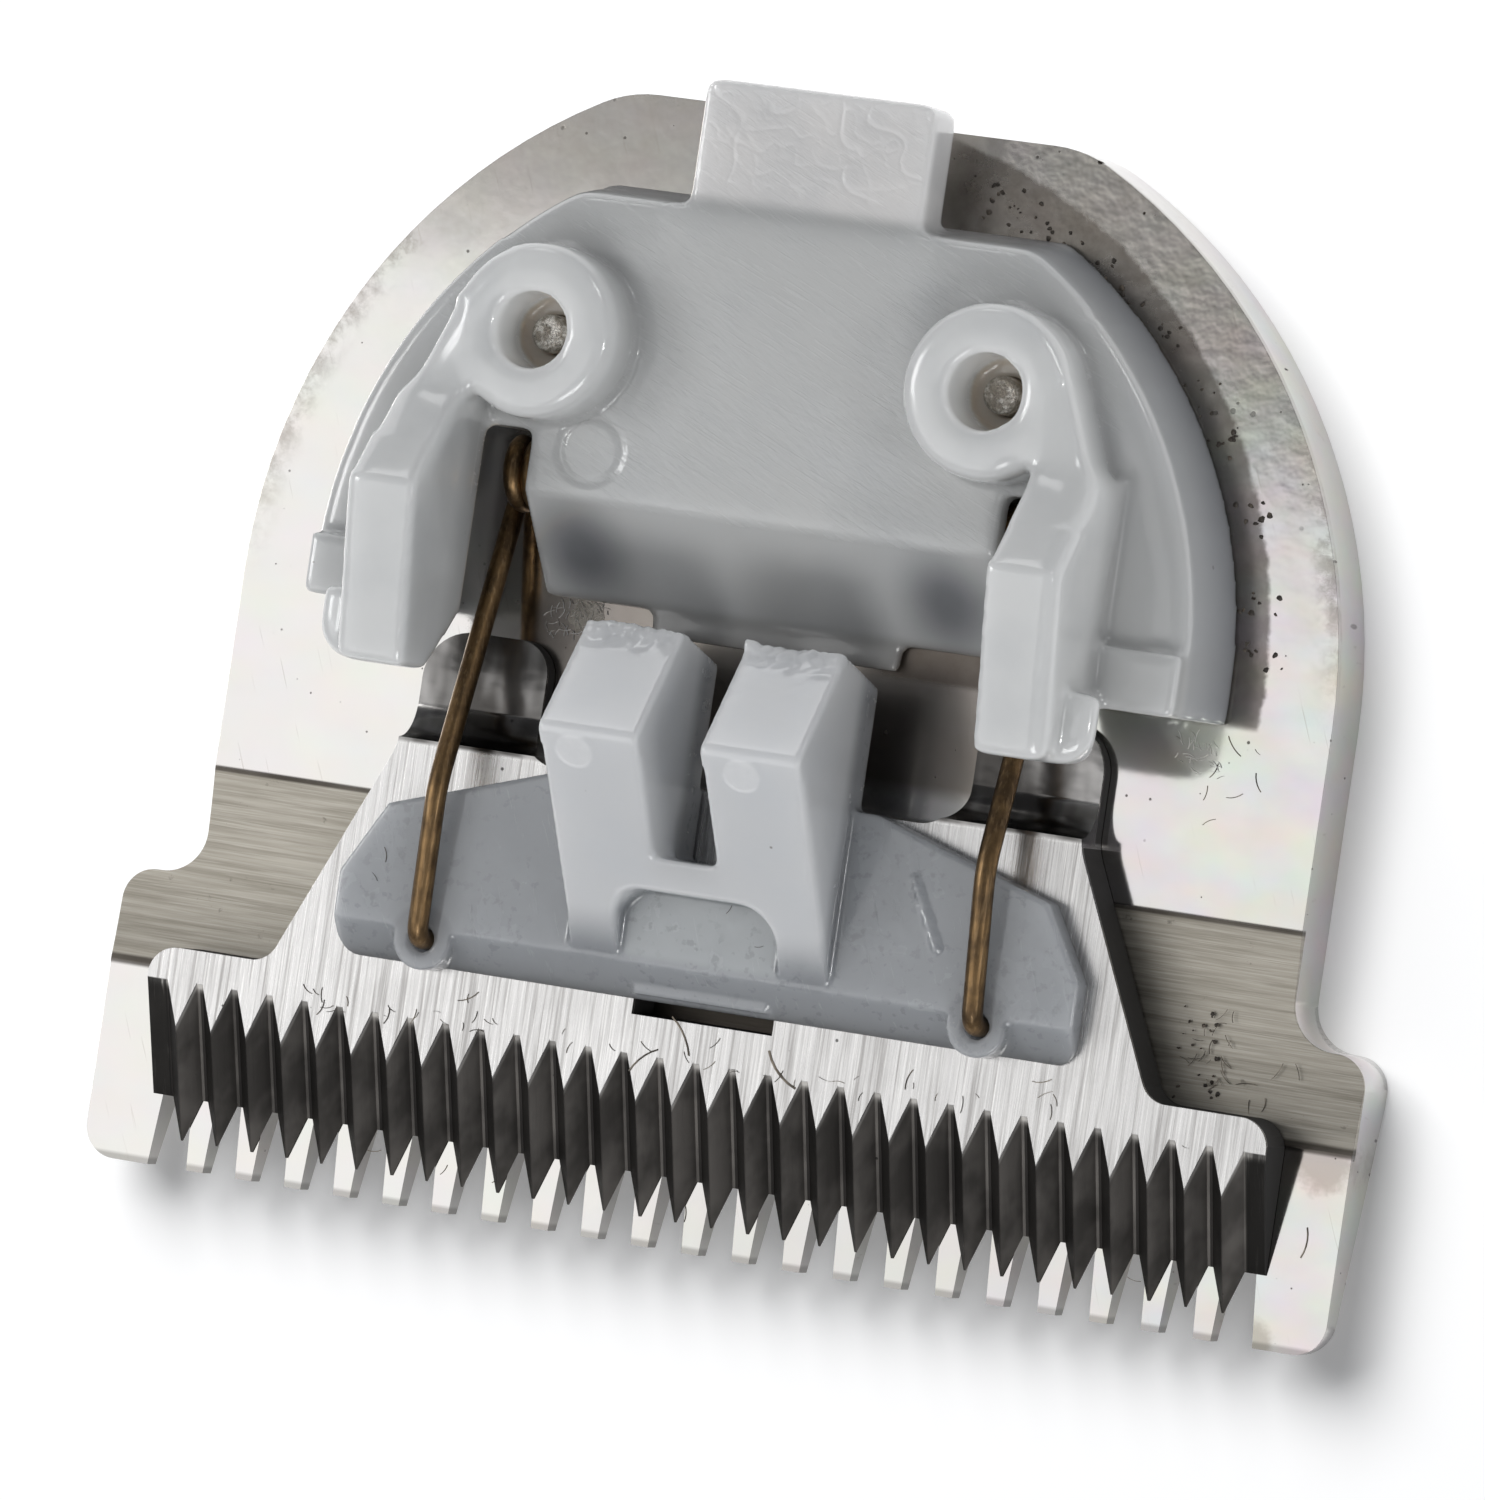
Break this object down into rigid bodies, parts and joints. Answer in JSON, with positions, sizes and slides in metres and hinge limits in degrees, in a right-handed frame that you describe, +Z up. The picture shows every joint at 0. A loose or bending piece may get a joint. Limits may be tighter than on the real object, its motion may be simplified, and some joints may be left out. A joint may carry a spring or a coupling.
{
  "type": "hair clipper blade",
  "caption": "T-shaped steel comb blade with a sliding toothed cutter, a plastic drive fork and a snap-in spring frame, for cutting hair.",
  "frame": {"origin": "middle of the footprint on the underside of the comb blade", "axes": "+X across the row of teeth, +Y from the teeth towards the latch tab, +Z up through the fork"},
  "size_m": [0.032, 0.0278, 0.0085],
  "materials": {
    "comb_steel": "polished lands with a brushed channel",
    "cutter_steel": "brushed along the teeth",
    "fork_plastic": "milky white moulded",
    "frame_plastic": "milky white moulded",
    "spring_wire": "dark bronze wire",
    "screw_steel": "plain"
  },
  "bodies": {
    "base": {"comb_blade": "comb_steel", "spring_frame": "frame_plastic", "torsion_spring": "spring_wire", "frame_screw_left": "screw_steel", "frame_screw_right": "screw_steel"},
    "cutter": {"cutter_blade": "cutter_steel", "drive_fork": "fork_plastic"}
  },
  "joints": [
    {"name": "cutter_slide", "type": "slide", "parent": "base", "child": "cutter", "axis": [1, 0, 0], "range_m": [-0.0012, 0.0012], "stiffness_N_per_m": 150, "deforming": ["torsion_spring"]}
  ]
}
